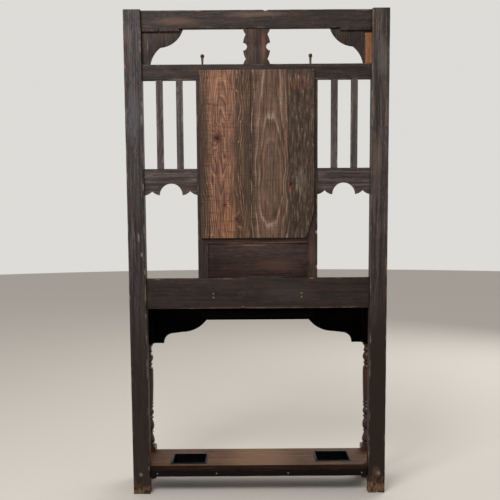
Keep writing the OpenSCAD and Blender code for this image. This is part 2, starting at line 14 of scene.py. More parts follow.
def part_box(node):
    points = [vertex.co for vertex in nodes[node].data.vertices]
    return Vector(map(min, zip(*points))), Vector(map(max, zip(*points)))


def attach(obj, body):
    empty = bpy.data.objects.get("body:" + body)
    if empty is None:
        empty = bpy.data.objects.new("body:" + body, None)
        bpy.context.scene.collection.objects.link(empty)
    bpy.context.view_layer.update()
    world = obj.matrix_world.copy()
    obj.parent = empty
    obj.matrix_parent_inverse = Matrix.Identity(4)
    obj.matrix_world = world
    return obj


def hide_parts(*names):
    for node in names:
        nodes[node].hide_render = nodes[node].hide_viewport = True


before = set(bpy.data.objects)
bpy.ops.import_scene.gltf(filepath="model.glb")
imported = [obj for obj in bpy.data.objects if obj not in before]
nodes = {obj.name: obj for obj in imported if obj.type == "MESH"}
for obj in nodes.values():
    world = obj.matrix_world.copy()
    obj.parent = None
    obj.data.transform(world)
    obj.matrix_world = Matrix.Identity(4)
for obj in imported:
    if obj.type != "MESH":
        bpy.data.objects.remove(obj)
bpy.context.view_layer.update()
MM = 0.001
X, Y, Z = 0, 1, 2
WAYS = {X: "across", Y: "deep", Z: "upright"}


# ---- shader nodes ----

def linear(code):
    """An sRGB hex colour as linear RGBA."""
    srgb = np.array([int(code[i:i + 2], 16) for i in (1, 3, 5)]) / 255
    rgb = np.where(srgb <= 0.04045, srgb / 12.92, ((srgb + 0.055) / 1.055) ** 2.4)
    return (*rgb, 1.0)


def add(tree, kind, inputs=None, **settings):
    """Adds one shader node, with its settings, and its inputs as values or as links."""
    made = tree.nodes.new("ShaderNode" + kind)
    for key, value in settings.items():
        setattr(made, key, value)
    for key, value in (inputs or {}).items():
        if isinstance(value, bpy.types.NodeSocket):
            tree.links.new(value, made.inputs[key])
        else:
            made.inputs[key].default_value = value
    return made


def begin(name):
    """A new material with an empty tree, its shader and its Object coordinates."""
    material = bpy.data.materials.new(name)
    material.use_nodes = True
    tree = material.node_tree
    tree.nodes.clear()
    shader = add(tree, "BsdfPrincipled")
    add(tree, "OutputMaterial", {"Surface": shader.outputs[0]})
    place = add(tree, "TexCoord").outputs["Object"]
    return material, tree, shader, place


def ramp(tree, value, low, high, to_low=0.0, to_high=1.0):
    """Remaps a value from low..high to to_low..to_high, smoothly and clamped."""
    return add(tree, "MapRange", {0: value, 1: low, 2: high, 3: to_low, 4: to_high},
               interpolation_type="SMOOTHSTEP").outputs[0]


def mix(tree, share, first, second):
    """Mixes two colours, each a socket or a linear RGBA."""
    return add(tree, "Mix", {0: share, 6: first, 7: second}, data_type="RGBA").outputs[2]


def lay(tree, colour, *layers):
    """Lays colours over one another. A layer is (share, sRGB hex, linear RGBA or socket)."""
    for share, over in layers:
        colour = mix(tree, share, colour, linear(over) if isinstance(over, str) else over)
    return colour


def maths(tree, operation, *values):
    """One Math node on sockets or numbers."""
    return add(tree, "Math", dict(enumerate(values)), operation=operation).outputs[0]


def plus(tree, first, second):
    """The sum of two sockets or numbers."""
    return maths(tree, "ADD", first, second)


def minus(tree, first, second):
    """The first socket or number less the second."""
    return maths(tree, "SUBTRACT", first, second)


def times(tree, first, second):
    """The product of two sockets or numbers."""
    return maths(tree, "MULTIPLY", first, second)


def hypotenuse(tree, first, second):
    """The square root of the sum of two squares."""
    return maths(tree, "SQRT", plus(tree, times(tree, first, first), times(tree, second, second)))


def either_way(tree, noise, span_mm):
    """Noise from 0 to 1 as a shift of half of span_mm either way."""
    return maths(tree, "MULTIPLY_ADD", noise, span_mm * MM, -span_mm / 2 * MM)


def pulse(tree, value, rise, fall):
    """1 between a rise and a fall, each a (low, high) of the value, and 0 outside them."""
    return times(tree, ramp(tree, value, *rise), ramp(tree, value, *fall, 1.0, 0.0))


def grain_noise(tree, place, along, across_mm, along_mm, detail=3.0, rough=0.55, shift=0.0):
    """Noise drawn out along the grain: one feature is across_mm wide and along_mm long."""
    scale = [1 / (across_mm * MM)] * 3
    scale[along] = 1 / (along_mm * MM)
    turned = add(tree, "Mapping", {"Vector": place, "Scale": scale,
                                   "Location": (shift, shift * 1.7, -shift)})
    return add(tree, "TexNoise", {"Vector": turned.outputs[0], "Scale": 1.0, "Detail": detail,
                                  "Roughness": rough}).outputs["Fac"]


def grains(tree, place, along, table, shift):
    """The noises of a table by name, all moved by shift."""
    return {name: grain_noise(tree, place, along, *row[:4], shift + row[4]) for name, row in table.items()}


def emboss(tree, shader, height, distance_mm, strength):
    """Bumps the shader's normal by a height."""
    bump = add(tree, "Bump", {"Height": height, "Distance": distance_mm * MM, "Strength": strength})
    tree.links.new(bump.outputs[0], shader.inputs["Normal"])


def spot(tree, at, x, z, wide, high, soft=0.5):
    """1 inside an upright ellipse on the face, in mm, falling to 0 at its edge."""
    step_x = maths(tree, "DIVIDE", minus(tree, at[X], x * MM), wide * MM)
    step_z = maths(tree, "DIVIDE", minus(tree, at[Z], z * MM), high * MM)
    return ramp(tree, hypotenuse(tree, step_x, step_z), 1 - soft, 1.0, 1.0, 0.0)


def box_mm(node):
    """The lowest and highest corner of a node's box in mm."""
    return [np.array(corner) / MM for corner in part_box(node)]


def face_place(node, across, up):
    """A place on a node's back in mm, as shares of its box from low X and from its lowest point."""
    low, high = box_mm(node)
    return low[X] + (high[X] - low[X]) * across, low[Z] + (high[Z] - low[Z]) * up


def lay_stains_and_highlights(tree, at, colour, stained):
    """Lays the stains and painted highlights of some nodes over a colour, as soft upright ellipses."""
    for node in stained:
        for across, up, wide, high, code, strength in STAINS_AND_HIGHLIGHTS[node]:
            x, z = face_place(node, across, up)
            colour = lay(tree, colour, (times(tree, spot(tree, at, x, z, wide, high, 0.8), strength), code))
    return colour


# ---- materials ----

# Stains and painted highlights by node: share across, share up, half width mm, half height mm, colour,
# strength.
STAINS_AND_HIGHLIGHTS = {
    "post_right": ((0.35, 0.545, 3, 26, "#a39a92", 0.6), (0.2, 0.51, 3, 12, "#958c84", 0.5),
                   (0.8, 0.95, 26, 60, "#54423a", 0.5), (0.5, 0.79, 40, 160, "#55545a", 0.35)),
    "post_left": ((0.4, 0.90, 30, 110, "#55524c", 0.55), (0.6, 0.70, 26, 120, "#5a4c44", 0.5),
                  (0.5, 0.045, 24, 34, "#57483a", 0.6)),
    "top_rail": ((0.17, 0.55, 90, 40, "#221c1b", 0.7), (0.85, 0.4, 110, 22, "#5a4134", 0.6),
                 (0.5, 0.75, 160, 14, "#6a584e", 0.45)),
    "cross_rail": ((0.36, 0.5, 150, 60, "#453b35", 0.3), (0.75, 0.6, 60, 30, "#1d1615", 0.6),
                   (0.5, 0.0, 500, 7, "#6f6054", 0.5)),
    "stile_left": ((0.1, 0.235, 6, 8, "#a08b76", 0.7), (0.1, 0.06, 5, 7, "#8d7866", 0.5),
                   (0.6, 0.12, 16, 70, "#553a2e", 0.6)),
    "top_bracket_right": ((0.85, 0.55, 3, 30, "#80736b", 0.5),),
    "top_splat": ((0.24, 0.5, 13, 90, "#6d4a38", 0.6),),
    # The lower panel's pale lines along its top and bottom edges are painted highlights.
    "lower_panel": ((0.32, 0.35, 120, 34, "#503a2e", 0.45), (0.5, 0.985, 230, 9, "#7a5c4c", 0.6),
                    (0.5, 0.02, 190, 5, "#5d4c42", 0.6), (0.92, 0.5, 30, 80, "#1d1210", 0.6)),
    "shelf_board": ((0.5, 1.0, 190, 90, "#8a674c", 0.35),),
    "backboard_narrow": ((0.61, 0.94, 44, 60, "#9c6d50", 0.5), (0.46, 0.11, 60, 110, "#96623e", 0.5),
                         (0.62, 0.60, 26, 40, "#5a3428", 0.7), (0.50, 0.24, 16, 50, "#6a4030", 0.6),
                         (0.97, 0.5, 30, 420, "#3b3024", 0.9), (0.06, 0.5, 22, 380, "#3b3024", 0.8)),
    "backboard_wide": ((0.69, 0.40, 32, 190, "#5a4a3f", 0.6), (0.24, 0.92, 50, 50, "#6b4030", 0.65),
                       (0.18, 0.72, 36, 80, "#3d3026", 0.7), (0.45, 0.62, 8, 170, "#8f5f49", 0.6),
                       (0.395, 0.56, 7, 150, "#1e1410", 0.8), (0.385, 0.295, 12, 20, "#763627", 0.85),
                       (0.25, 0.83, 6, 50, "#0e0806", 1.0), (0.22, 0.34, 30, 80, "#6f675c", 0.5),
                       (0.94, 0.95, 30, 30, "#3a2c24", 0.6))}

# Noises by name: width mm, length mm, detail, roughness, shift.
OAK_GRAIN = {
    "bands": (11, 420, 4.0, 0.6, 0), "streaks": (3.2, 150, 3.0, 0.6, 4), "pores": (0.9, 17, 1.0, 0.5, 9),
    "patches": (90, 210, 3.0, 0.6, 2), "mottle": (30, 95, 4.0, 0.65, 17), "warp": (60, 330, 3.0, 0.55, 14),
    "blotch": (13, 17, 4.0, 0.7, 21), "scuff": (9, 40, 4.0, 0.7, 6)}
PINE_GRAIN = {
    "sway": (70, 300, 3.0, 0.5, 0), "frays": (7, 9, 3.0, 0.7, 11), "fine": (16, 120, 3.0, 0.55, 3),
    "patch": (38, 150, 4.0, 0.6, 7), "fibres": (3.2, 70, 3.0, 0.65, 5), "shreds": (8, 52, 5.0, 0.75, 13)}
PINE_CROSS_GRAIN = {"ribs": (4.5, 70, 3.0, 0.65, 19)}
OAK_RING_MM = 8.5
SAW_PITCH_MM = 9
# The second colour is the painted shade laid over the oak towards the bottom.
WARM_STAIN, LOW_SHADE, DAMP_WOOD, BLEACHED_WOOD = "#442b1f", "#22160e", "#2c1c12", "#6f5036"
TORN_FIBRE, KNOT_HALO, KNOT = "#8b7d6a", "#4a2018", "#140b08"


def stained_oak(name, along, tones, rough=0.62, coat=0.0, shift=0.0, streak=0.55, low_shade_and_damp=0.62, shine=0.22,
                warmth=0.4, stained=()):
    """Quartered and plain sawn oak under old stain: long open pores, darker growth bands, warm
    patches where the stain has thinned, by the share warmth, and bare wood where the arrises have
    been handled. Painted shade darkens it towards the bottom and damp marks its feet, both by the
    same share. tones are (dark, middle, light, worn), and stained names the nodes whose stains and
    painted highlights are laid. The pores are 0.35 mm wide on the real wood and are drawn 0.9 mm
    wide, so that they show."""
    material, tree, shader, place = begin(name)
    dark, middle, light, worn = tones
    grain = grains(tree, place, along, OAK_GRAIN, shift)
    streaks, mottle, patches, warp = (grain[key] for key in ("streaks", "mottle", "patches", "warp"))
    at = add(tree, "SeparateXYZ", {0: place}).outputs
    over, beside = [at[axis] for axis in (X, Y, Z) if axis != along]

    # The rings are planes that lean across the section and wander along the grain.
    ring = plus(tree, maths(tree, "MULTIPLY_ADD", beside, 0.8, over), times(tree, warp, 0.11))
    ring = maths(tree, "FRACT", maths(tree, "DIVIDE", ring, OAK_RING_MM * MM))
    ring = times(tree, pulse(tree, ring, (0.25, 0.85), (0.88, 1.0)), ramp(tree, warp, 0.35, 0.65, 0.25, 0.8))
    pore = ramp(tree, grain["pores"], 0.56, 0.66)
    # Painted shade: the colour darkens towards the bottom, below about 1.35 m, and is mottled by the
    # patches.
    darkening = ramp(tree, maths(tree, "MULTIPLY_ADD", patches, 0.5, at[Z]), 1.35, 0.75, 0.0, low_shade_and_damp)
    damp = ramp(tree, maths(tree, "MULTIPLY_ADD", mottle, 0.12, at[Z]), 0.135, 0.075, 0.0, low_shade_and_damp)
    foot = mix(tree, ramp(tree, grain["blotch"], 0.42, 0.58), linear(DAMP_WOOD), linear(BLEACHED_WOOD))
    colour = mix(tree, ramp(tree, grain["bands"], 0.36, 0.62), linear(dark), linear(middle))
    colour = lay(tree, colour,
                 (ramp(tree, streaks, 0.50, 0.72, 0.0, streak), light),
                 (ramp(tree, patches, 0.55, 0.75, 0.0, 0.45), middle),
                 (ramp(tree, mottle, 0.50, 0.64, 0.0, warmth), WARM_STAIN),
                 (ramp(tree, mottle, 0.46, 0.34, 0.0, 0.55), dark),
                 (times(tree, pore, 0.7), dark), (ring, dark), (darkening, LOW_SHADE), (damp, foot))
    frayed = {axis: plus(tree, at[axis], either_way(tree, noise, 20))
              for axis, noise in ((X, streaks), (Z, mottle))}
    colour = lay_stains_and_highlights(tree, frayed, colour, stained)

    # Slanting scratches in some patches, and bare wood on the arrises.
    slanted = add(tree, "Mapping", {"Vector": place, "Rotation": (0.35, 0.5, 0.2), "Scale": (420, 60, 40)})
    scratch = add(tree, "TexNoise", {"Vector": slanted.outputs[0], "Scale": 1.0, "Detail": 1.0})
    scratched = times(tree, ramp(tree, scratch.outputs["Fac"], 0.69, 0.76),
                      ramp(tree, patches, 0.50, 0.70, 0.0, 0.3))
    wear = add(tree, "Attribute", attribute_name="wear").outputs["Fac"]
    bare = times(tree, ramp(tree, wear, 0.25, 0.95, 0.0, 0.7), ramp(tree, grain["scuff"], 0.44, 0.62))
    tree.links.new(lay(tree, colour, (scratched, worn), (bare, worn)), shader.inputs["Base Color"])
    dull = maths(tree, "MULTIPLY_ADD", streaks, 0.22, rough - 0.10)
    tree.links.new(maths(tree, "MULTIPLY_ADD", bare, 0.12, dull), shader.inputs["Roughness"])
    shader.inputs["IOR"].default_value = 1.5
    shader.inputs["Specular IOR Level"].default_value = shine
    if coat:
        shader.inputs["Coat Weight"].default_value = coat
        shader.inputs["Coat Roughness"].default_value = 0.22
    emboss(tree, shader, minus(tree, times(tree, streaks, 0.6), pore), 0.25, 0.7)
    return material


def sawn_pine(name, node, tones, shift, pith, pith_depth_mm, wave_mm, ring_mm, plain_mm, line_share, band,
              torn_share, rib_share, knots):
    """Rough plain sawn pine, oxidised for a century. The rings are cylinders round a pith that winds
    in and out behind the face: its depth is pith_depth_mm sin(pi (z - pith z) / wave_mm), so the
    face cuts them in tall ovals with necks between them. Each ring is pale early wood that darkens
    to a hard line of strength line_share, which is faint within plain_mm of the pith. pith is its
    shares across and up the board. tones are (middle, margin, late wood, pale early wood), and band
    is the middle band's (share across, half width mm). Past torn_share of the width from the high X
    side the saw has torn the fibres out. rib_share is the strength of the ribs that cross the
    board. Knots are (share across, share up, radius mm), and the rings bend round them. Saw marks
    stand 2.4 mm apart on the real board and are drawn about 9 mm apart, so that they show."""
    material, tree, shader, place = begin(name)
    middle, margin, late, early = tones
    grain = grains(tree, place, Z, PINE_GRAIN, shift)
    sway, patch, fibres, shreds = (grain[key] for key in ("sway", "patch", "fibres", "shreds"))
    ribs = grains(tree, place, X, PINE_CROSS_GRAIN, shift)["ribs"]
    raw = add(tree, "SeparateXYZ", {0: place}).outputs
    push = plus(tree, either_way(tree, sway, 44), either_way(tree, grain["frays"], 14))
    push = plus(tree, push, either_way(tree, ribs, 56))
    at = {X: plus(tree, raw[X], times(tree, push, 0.55)), Z: raw[Z]}

    # reach is how far the face is from the pith, pushed out round the knots.
    pith_x, pith_z = face_place(node, *pith)
    across = plus(tree, minus(tree, raw[X], pith_x * MM), either_way(tree, sway, 70))
    turn = times(tree, minus(tree, raw[Z], pith_z * MM), math.pi / (wave_mm * MM))
    reach = hypotenuse(tree, across, times(tree, maths(tree, "SINE", turn), pith_depth_mm * MM))
    knot_places = [(*face_place(node, *knot[:2]), knot[2]) for knot in knots]
    for x, z, radius in knot_places:
        swell = spot(tree, raw, x, z, 5 * radius, 8 * radius, 1.0)
        reach = plus(tree, reach, times(tree, swell, 2.2 * radius * MM))
    reach = plus(tree, reach, times(tree, grain["fine"], 9 * MM))
    ring = maths(tree, "FRACT", maths(tree, "DIVIDE", reach, ring_mm * MM))
    far = ramp(tree, reach, plain_mm * 0.7 * MM, plain_mm * MM, 0.12, 1.0)
    torn_x = face_place(node, 1 - torn_share, 0)[0]
    torn = ramp(tree, at[X], (torn_x + 10) * MM, (torn_x - 10) * MM) if torn_share else 0.0
    sound = minus(tree, 1.0, times(tree, torn, 0.8))
    line, pale = (times(tree, times(tree, pulse(tree, ring, rise, fall), far), sound)
                  for rise, fall in (((0.42, 0.88), (0.90, 1.0)), ((0.02, 0.10), (0.12, 0.34))))

    from_band = maths(tree, "ABSOLUTE", minus(tree, at[X], face_place(node, band[0], 0)[0] * MM))
    colour = mix(tree, ramp(tree, from_band, band[1] * MM * 0.85, band[1] * MM * 1.15), linear(middle),
                 linear(margin))
    colour = lay(tree, colour, (ramp(tree, patch, 0.44, 0.70, 0.0, 0.5), margin),
                 (times(tree, pale, ramp(tree, patch, 0.66, 0.40, 0.25, 0.9)), early))
    colour = lay_stains_and_highlights(tree, at, colour, (node,))
    strength = ramp(tree, sway, 0.30, 0.62, 0.5 * line_share, line_share)
    colour = lay(tree, colour,
                 (times(tree, line, strength), late),
                 (ramp(tree, fibres, 0.34, 0.56, 0.75, 0.0), late),
                 (ramp(tree, fibres, 0.56, 0.72, 0.0, 0.22), early),
                 (times(tree, torn, ramp(tree, shreds, 0.52, 0.42, 0.0, 0.75)), late),
                 (times(tree, torn, ramp(tree, shreds, 0.56, 0.66, 0.0, 0.6)), TORN_FIBRE))
    for x, z, radius in knot_places:
        halo = times(tree, spot(tree, at, x, z, 2.6 * radius, 3.4 * radius, 0.8), 0.7)
        colour = lay(tree, colour, (halo, KNOT_HALO), (spot(tree, at, x, z, radius, 1.1 * radius), KNOT))
    saw = add(tree, "TexWave", {"Vector": place, "Scale": 2 * math.pi / (SAW_PITCH_MM * MM) / 20,
                                "Distortion": 2.0, "Detail": 2.0, "Detail Scale": 3.0},
              bands_direction="Z").outputs["Fac"]
    wear = add(tree, "Attribute", attribute_name="wear").outputs["Fac"]
    colour = lay(tree, colour, (ramp(tree, ribs, 0.50, 0.66, 0.0, rib_share), late),
                 (times(tree, saw, 0.16), late), (ramp(tree, wear, 0.4, 1.0, 0.0, 0.55), late))
    tree.links.new(colour, shader.inputs["Base Color"])
    tree.links.new(maths(tree, "MULTIPLY_ADD", fibres, 0.15, 0.66), shader.inputs["Roughness"])
    shader.inputs["Specular IOR Level"].default_value = 0.25
    height = plus(tree, times(tree, line, 0.7), plus(tree, times(tree, saw, 0.25), fibres))
    emboss(tree, shader, height, 0.3, 0.8)
    return material


def metal(name, clean, dull, rough_clean, rough_dull, patch_mm):
    """Bare metal under patchy tarnish: clean where it is rubbed, dull and rougher elsewhere."""
    material, tree, shader, place = begin(name)
    tarnish = ramp(tree, grain_noise(tree, place, Z, patch_mm, patch_mm, 5.0, 0.65), 0.38, 0.62)
    tree.links.new(mix(tree, tarnish, linear(clean), linear(dull)), shader.inputs["Base Color"])
    tree.links.new(maths(tree, "MULTIPLY_ADD", tarnish, rough_dull - rough_clean, rough_clean),
                   shader.inputs["Roughness"])
    shader.inputs["Metallic"].default_value = 1.0
    emboss(tree, shader, grain_noise(tree, place, Z, 1.4, 1.4, 2.0, 0.6, 3.0), 0.12, 0.5)
    return material


def japanned_iron():
    """Sheet iron under black baked varnish: glossy and near black, with dust and fine scratches."""
    material, tree, shader, place = begin("japanned_sheet_iron")
    dust = ramp(tree, grain_noise(tree, place, X, 26, 40, 5.0, 0.7), 0.50, 0.72, 0.0, 0.5)
    scratch = ramp(tree, grain_noise(tree, place, X, 1.2, 60, 1.0, 0.5, 8.0), 0.66, 0.72)
    colour = lay(tree, mix(tree, dust, linear("#07080a"), linear("#121418")),
                 (times(tree, scratch, 0.5), "#2c3034"))
    tree.links.new(colour, shader.inputs["Base Color"])
    tree.links.new(maths(tree, "MULTIPLY_ADD", dust, 0.35, 0.34), shader.inputs["Roughness"])
    shader.inputs["Specular IOR Level"].default_value = 0.07
    return material


def silvered_glass():
    """Old silvered plate glass: a true mirror, with grey foxing where damp has reached the back. The
    face towards +Y is the dark paint over the silvering."""
    material, tree, shader, place = begin("silvered_plate_glass")
    spots = grain_noise(tree, place, Z, 14, 14, 6.0, 0.75, 2.0)
    areas = grain_noise(tree, place, Z, 120, 170, 2.0, 0.5, 5.0)
    fox = times(tree, ramp(tree, spots, 0.56, 0.70), ramp(tree, areas, 0.48, 0.66))
    facing = add(tree, "SeparateXYZ", {0: add(tree, "NewGeometry").outputs["Normal"]}).outputs[Y]
    back = maths(tree, "GREATER_THAN", facing, 0.5)
    silver = mix(tree, fox, linear("#d8dedd"), linear("#4a4438"))
    tree.links.new(lay(tree, silver, (back, "#1a1512")), shader.inputs["Base Color"])
    tree.links.new(maths(tree, "MAXIMUM", maths(tree, "MULTIPLY_ADD", fox, 0.45, 0.03),
                         times(tree, back, 0.8)), shader.inputs["Roughness"])
    tree.links.new(minus(tree, 1.0, back), shader.inputs["Metallic"])
    return material


def filler():
    """Pale wax and putty over sunk screws, dirty round its rim."""
    material, tree, shader, place = begin("pale_wood_filler")
    darkening = ramp(tree, grain_noise(tree, place, Z, 4, 4, 4.0, 0.7), 0.4, 0.65)
    tree.links.new(mix(tree, darkening, linear("#8d7055"), linear("#4d3826")), shader.inputs["Base Color"])
    shader.inputs["Roughness"].default_value = 0.75
    return material


def matte(name, code, rough):
    """A plain studio surface of one colour."""
    material, _, shader, _ = begin(name)
    shader.inputs["Base Color"].default_value = linear(code)
    shader.inputs["Roughness"].default_value = rough
    return material


# Oak by its tones: dark, middle, light, worn.
POST = {
    "right": stained_oak("stained_oak_post_right", Z, ("#1a1617", "#403a3b", "#776b67", "#8f7c6c"), low_shade_and_damp=0.8,
                         stained=("post_right",)),
    "left": stained_oak("stained_oak_post_left", Z, ("#1e1918", "#4d423e", "#85756a", "#8f7c6c"), shift=31.0,
                        low_shade_and_damp=0.96, stained=("post_left",))}
RAIL = stained_oak("stained_oak_rail", X, ("#161110", "#32251f", "#5a483c", "#8a7464"), shift=12, warmth=0.5,
                   stained=("top_rail", "cross_rail"))
SIDE_RAIL = stained_oak("stained_oak_side_rail", X, ("#2b2321", "#594c47", "#87766c", "#9a8674"), shift=17)
STILE = stained_oak("stained_oak_stile", Z, ("#1a1311", "#362821", "#624c3d", "#8d7866"), shift=21,
                    stained=("stile_left", "top_bracket_right"))
SPLAT = stained_oak("red_stained_oak_splat", Z, ("#231713", "#42322b", "#6f5242", "#8a6a52"), shift=24,
                    streak=0.6, stained=("top_splat",))
SLAT = stained_oak("stained_oak_slat", Z, ("#2b2625", "#524949", "#786a64", "#98867a"), shift=27)
PANEL = stained_oak("red_stained_oak_panel", X, ("#1c110e", "#3b2721", "#5c4034", "#86624e"), shift=34,
                    stained=("lower_panel",))
# The polished oak's dark tones are partly its own dark polish and partly painted shade for the parts seen
# under the table.
POLISHED = {way: stained_oak("polished_oak_" + WAYS[way], way, ("#140806", "#2b130c", "#472216", "#5f3522"),
                             rough=0.38, coat=0.3, shift=40 + way, low_shade_and_damp=0.15, shine=0.4, warmth=0.2)
            for way in (X, Y, Z)}
# Near black oak as painted shade, standing for the deep shade inside and under the table.
PAINTED_SHADE_OAK = {way: stained_oak("painted_shade_oak_" + WAYS[way], way, ("#020101", "#050302", "#0a0604", "#1c110c"),
                           rough=0.95, shift=80 + way, low_shade_and_damp=0.0, shine=0.04, warmth=0.0)
          for way in (X, Y)}
LEG = stained_oak("turned_polished_oak", Z, ("#1c0a06", "#47200e", "#74391f", "#85502f"), rough=0.38,
                  coat=0.15, shift=44, low_shade_and_damp=0.0, shine=0.35, warmth=0.0)
SHELF = stained_oak("worn_polished_oak_shelf", X, ("#33200f", "#62422c", "#876248", "#a5805f"), rough=0.6,
                    shift=51, low_shade_and_damp=0.0, shine=0.15, warmth=0.2, stained=("shelf_board",))
SHELF_EDGE = stained_oak("dark_oak_shelf_edge", X, ("#150b07", "#2a170f", "#4c3020", "#7b5a44"), rough=0.6,
                         shift=53, low_shade_and_damp=0.0, shine=0.12, warmth=0.1)
SHELF_RAIL = {way: stained_oak("dark_oak_shelf_rail_" + WAYS[way], way,
                               ("#080403", "#120a07", "#20130e", "#453023"), shift=55 + way, low_shade_and_damp=0.0,
                               shine=0.1, warmth=0.0)
              for way in (X, Y)}
# The box sides' very dark tones are partly the stained softwood's own colour and partly painted shade inside
# the table.
BOX_SIDE = stained_oak("stained_softwood_shaded", Y, ("#120c09", "#201610", "#34241a", "#4c3626"), shift=61,
                       low_shade_and_damp=0.3)
FRESH = stained_oak("fresh_sawn_pine", Z, ("#6a4024", "#845636", "#a0724c", "#b48e68"), rough=0.7, shift=70,
                    low_shade_and_damp=0.0, warmth=0.0)
PINE_NARROW = sawn_pine(
    "sawn_pine_reddened", "backboard_narrow", ("#865d49", "#4b3a2a", "#301c16", "#a57a5c"), shift=3.0,
    pith=(0.56, 0.62), pith_depth_mm=34, wave_mm=620, ring_mm=7.0, plain_mm=12, line_share=0.7,
    band=(0.555, 52), torn_share=0.0, rib_share=0.42,
    knots=((0.66, 0.60, 9), (0.28, 0.115, 5), (0.50, 0.20, 4)))
PINE_WIDE = sawn_pine(
    "sawn_pine_brown", "backboard_wide", ("#6b4f3f", "#463528", "#241710", "#96806b"), shift=13.0,
    pith=(0.69, 0.40), pith_depth_mm=58, wave_mm=680, ring_mm=17.0, plain_mm=46, line_share=0.45,
    band=(0.694, 62), torn_share=0.60, rib_share=0.25, knots=((0.375, 0.325, 9),))
BRASS = metal("tarnished_cast_brass", "#645640", "#362c21", 0.3, 0.55, 9)
NAIL = metal("rusted_wrought_nails", "#4a3f38", "#2a201b", 0.5, 0.75, 3)
IRON = japanned_iron()
GLASS = silvered_glass()
PLUG = filler()


# ---- surfaces ----

LOOKS_ALONG = 0.6       # a face looks along an axis if that much of its normal lies on it
END_POINTS = 4          # round a board's end
CORNER_POINTS = 5       # round a board's arris
SIDE_STEP_MM = 9        # between points across a board's side
CHIP_LEVEL = 0.72       # noise above this is a chip in an arris
CRISP_DEGREES = 38      # edges sharper than this are eased and shaded crisp


def smooth_noise(count, every, rng):
    """Values from -1 to 1 at count stations, interpolated by cosine between draws one per every."""
    knots = rng.uniform(-1, 1, count // every + 3)
    at = np.arange(count) / every
    low = at.astype(int)
    blend = (1 - np.cos(np.pi * (at - low))) / 2
    return knots[low] * (1 - blend) + knots[low + 1] * blend


def face_data(mesh, kind):
    """The normals or the centres of a mesh's faces, one row each."""
    values = np.zeros(len(mesh.polygons) * 3)
    mesh.polygons.foreach_get(kind, values)
    return values.reshape(-1, 3)


def second_material(mesh, material, chosen):
    """Gives the chosen faces a second material."""
    mesh.materials.append(material)
    mesh.polygons.foreach_set("material_index", chosen.astype(int))


def face_backs(mesh, material):
    """Gives the faces that look towards +Y a second material."""
    second_material(mesh, material, face_data(mesh, "normal")[:, Y] > LOOKS_ALONG)


def crisp(piece, degrees):
    """Splits a piece's smooth shading at its sharp edges."""
    split = piece.modifiers.new("crisp_edges", "EDGE_SPLIT")
    split.split_angle = math.radians(degrees)


def build(name, points, faces, material, body, node, wear):
    """Puts a vertex array in mm and its faces into a mesh, which rides on body and stands for node."""
    mesh = bpy.data.meshes.new(name)
    mesh.from_pydata((points.reshape(-1, 3) * MM).tolist(), [], faces)
    mesh.materials.append(material)
    mesh.attributes.new("wear", "FLOAT", "POINT").data.foreach_set("value", wear.ravel().astype(np.float32))
    mesh.polygons.foreach_set("use_smooth", np.full(len(mesh.polygons), True))
    mesh.update()
    piece = bpy.data.objects.new(name, mesh)
    bpy.context.scene.collection.objects.link(piece)
    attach(piece, body)
    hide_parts(*([node] if isinstance(node, str) else node))
    return piece


def tube_faces(rings, sides):
    """Quads between closed rings of the same number of points, and one polygon at each end."""
    ring, side = np.meshgrid(np.arange(rings - 1), np.arange(sides), indexing="ij")
    a = ring * sides + side
    b = ring * sides + (side + 1) % sides
    quads = np.stack([a, b, b + sides, a + sides], -1).reshape(-1, 4).tolist()
    last = (rings - 1) * sides
    return quads + [list(range(sides - 1, -1, -1)), list(range(last, last + sides))]


# Dents by node: (point mm, radius mm, depth mm). Each post's last dent is round its plug.
DENTS = {
    "post_left": (((-465, 118, 30), 15, 3.0), ((-490, 120, 14), 20, 2.0), ((-456, 75, 20), 9, 2.5),
                  ((-456, 120, 640), 6, 1.6), ((-499, 120, 84.5), 11, 1.4)),
    "post_right": (((457, 120, 1840), 7, 2.5), ((456, 120, 1060), 9, 1.4), ((500, 120, 6), 16, 2.4),
                   ((491, 120, 84.5), 11, 1.4)),
    "top_rail": (((-35, 108, 1963), 7, 4.0),),
    "cross_rail": (((60, 108, 779), 10, 1.6),),
    "stile_left": (((-242, 108, 1090), 7, 2.4), ((-242, 108, 950), 6, 2.0)),
    "backboard_wide": (((-170, 117, 1715), 12, 1.5),)}


